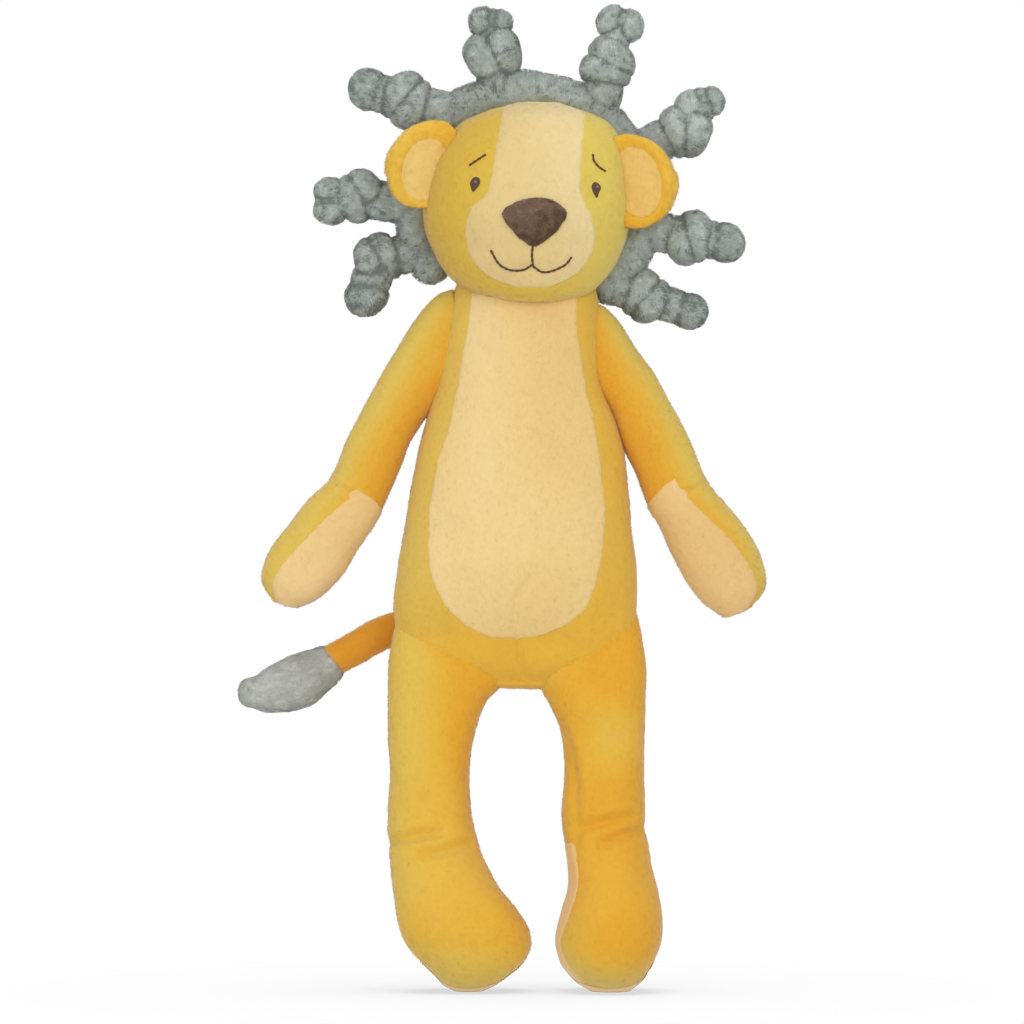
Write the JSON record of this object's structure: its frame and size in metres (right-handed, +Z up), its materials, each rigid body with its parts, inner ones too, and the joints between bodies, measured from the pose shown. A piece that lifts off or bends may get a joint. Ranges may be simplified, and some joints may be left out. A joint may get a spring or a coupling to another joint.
{
  "type": "plush toy lion",
  "caption": "Standing plush lion in yellow pile with cream face stripe, muzzle, belly, paws and soles, a grey fleece mane of knotted strands, brown nose and thin tail with a grey tuft.",
  "frame": {"origin": "middle of the toy's box in plan, at floor level", "axes": "+Z up; the toy faces -Y, so its own left is +X"},
  "size_m": [0.2123, 0.0812, 0.3988],
  "materials": {
    "yellow_plush": "short matt pile",
    "cream_plush": "short matt pile",
    "grey_fleece": "long soft fleece",
    "ear_plush": "short matt pile",
    "tail_plush": "short matt pile",
    "nose_plush": "brushed short pile with a slight sheen",
    "eye_thread": "satin-stitched embroidery thread",
    "seam_thread": "sewing thread",
    "filling": "loose polyester fibre"
  },
  "bodies": {
    "torso": {"torso_skin": "yellow_plush", "belly_panel": "cream_plush", "torso_filling": "filling"},
    "neck": {"neck_seam": "seam_thread"},
    "head": {"head_skin": "yellow_plush", "face_panel": "cream_plush", "head_filling": "filling", "nose_patch": "nose_plush", "eye_left": "eye_thread", "eye_right": "eye_thread", "mane_ring": "grey_fleece"},
    "ear_left": {"ear_left": "yellow_plush", "ear_lining_left": "ear_plush"},
    "ear_right": {"ear_right": "yellow_plush", "ear_lining_right": "ear_plush"},
    "strand_1": {"mane_strand_1": "grey_fleece"},
    "strand_2": {"mane_strand_2": "grey_fleece"},
    "strand_3": {"mane_strand_3": "grey_fleece"},
    "strand_4": {"mane_strand_4": "grey_fleece"},
    "strand_5": {"mane_strand_5": "grey_fleece"},
    "strand_6": {"mane_strand_6": "grey_fleece"},
    "strand_7": {"mane_strand_7": "grey_fleece"},
    "strand_8": {"mane_strand_8": "grey_fleece"},
    "arm_left": {"arm_left_skin": "yellow_plush", "paw_panel_left": "cream_plush", "arm_left_filling": "filling"},
    "arm_right": {"arm_right_skin": "yellow_plush", "paw_panel_right": "cream_plush", "arm_right_filling": "filling"},
    "leg_left": {"leg_left_skin": "yellow_plush", "sole_panel_left": "cream_plush", "leg_left_filling": "filling"},
    "leg_right": {"leg_right_skin": "yellow_plush", "sole_panel_right": "cream_plush", "leg_right_filling": "filling"},
    "tail": {"tail": "tail_plush", "tail_tuft": "grey_fleece"}
  },
  "joints": [
    {"name": "neck_turn", "type": "hinge", "parent": "torso", "child": "neck", "pos_m": [0.00776, 0.00773, 0.2828], "axis": [0, 0, 1], "range_deg": [-45, 45], "stiffness_Nm_per_rad": 0.05},
    {"name": "head_nod", "type": "hinge", "parent": "neck", "child": "head", "pos_m": [0.00776, 0.00773, 0.2828], "axis": [1, 0, 0], "range_deg": [-10, 10], "stiffness_Nm_per_rad": 0.3},
    {"name": "ear_fold_left", "type": "hinge", "parent": "head", "child": "ear_left", "pos_m": [0.04922, -0.00977, 0.32924], "axis": [0.2588, 0, -0.9659], "range_deg": [-30, 30], "stiffness_Nm_per_rad": 0.02},
    {"name": "ear_fold_right", "type": "hinge", "parent": "head", "child": "ear_right", "pos_m": [-0.02687, -0.00977, 0.33456], "axis": [0.3907, 0, 0.9205], "range_deg": [-30, 30], "stiffness_Nm_per_rad": 0.02},
    {"name": "strand_flop_1", "type": "hinge", "parent": "head", "child": "strand_1", "pos_m": [0.0469, 0.01573, 0.29017], "axis": [-0.6157, 0, -0.788], "range_deg": [-25, 25], "stiffness_Nm_per_rad": 0.005},
    {"name": "strand_flop_2", "type": "hinge", "parent": "head", "child": "strand_2", "pos_m": [0.05496, 0.01573, 0.30598], "axis": [-0.2756, 0, -0.9613], "range_deg": [-25, 25], "stiffness_Nm_per_rad": 0.005},
    {"name": "strand_flop_3", "type": "hinge", "parent": "head", "child": "strand_3", "pos_m": [0.05205, 0.01573, 0.33918], "axis": [0.4384, 0, -0.8988], "range_deg": [-25, 25], "stiffness_Nm_per_rad": 0.005},
    {"name": "strand_flop_4", "type": "hinge", "parent": "head", "child": "strand_4", "pos_m": [0.03693, 0.01573, 0.35689], "axis": [0.8191, 0, -0.5736], "range_deg": [-25, 25], "stiffness_Nm_per_rad": 0.005},
    {"name": "strand_flop_5", "type": "hinge", "parent": "head", "child": "strand_5", "pos_m": [-0.00178, 0.01573, 0.36372], "axis": [0.9659, 0, 0.2588], "range_deg": [-25, 25], "stiffness_Nm_per_rad": 0.005},
    {"name": "strand_flop_6", "type": "hinge", "parent": "head", "child": "strand_6", "pos_m": [-0.01963, 0.01573, 0.35442], "axis": [0.766, 0, 0.6428], "range_deg": [-25, 25], "stiffness_Nm_per_rad": 0.005},
    {"name": "strand_flop_7", "type": "hinge", "parent": "head", "child": "strand_7", "pos_m": [-0.03624, 0.01573, 0.3188], "axis": [0, 0, 1], "range_deg": [-25, 25], "stiffness_Nm_per_rad": 0.005},
    {"name": "strand_flop_8", "type": "hinge", "parent": "head", "child": "strand_8", "pos_m": [-0.03254, 0.01573, 0.30063], "axis": [-0.3907, 0, 0.9205], "range_deg": [-25, 25], "stiffness_Nm_per_rad": 0.005},
    {"name": "shoulder_left", "type": "hinge", "parent": "torso", "child": "arm_left", "pos_m": [0.04139, 0.00773, 0.25756], "axis": [-0.1392, 0, 0.9903], "range_deg": [-50, 50], "stiffness_Nm_per_rad": 0.05},
    {"name": "shoulder_right", "type": "hinge", "parent": "torso", "child": "arm_right", "pos_m": [-0.02639, 0.00773, 0.25756], "axis": [0.1392, 0, 0.9903], "range_deg": [-50, 50], "stiffness_Nm_per_rad": 0.05},
    {"name": "hip_left", "type": "hinge", "parent": "torso", "child": "leg_left", "pos_m": [0.03836, 0.00773, 0.132], "axis": [1, 0, 0], "range_deg": [-85, 25], "stiffness_Nm_per_rad": 0.6},
    {"name": "hip_right", "type": "hinge", "parent": "torso", "child": "leg_right", "pos_m": [-0.02584, 0.00773, 0.132], "axis": [1, 0, 0], "range_deg": [-85, 25], "stiffness_Nm_per_rad": 0.6},
    {"name": "tail_swing", "type": "hinge", "parent": "torso", "child": "tail", "pos_m": [0.00226, 0.03394, 0.15182], "axis": [0, 0, 1], "range_deg": [-150, 5], "stiffness_Nm_per_rad": 0.02}
  ]
}
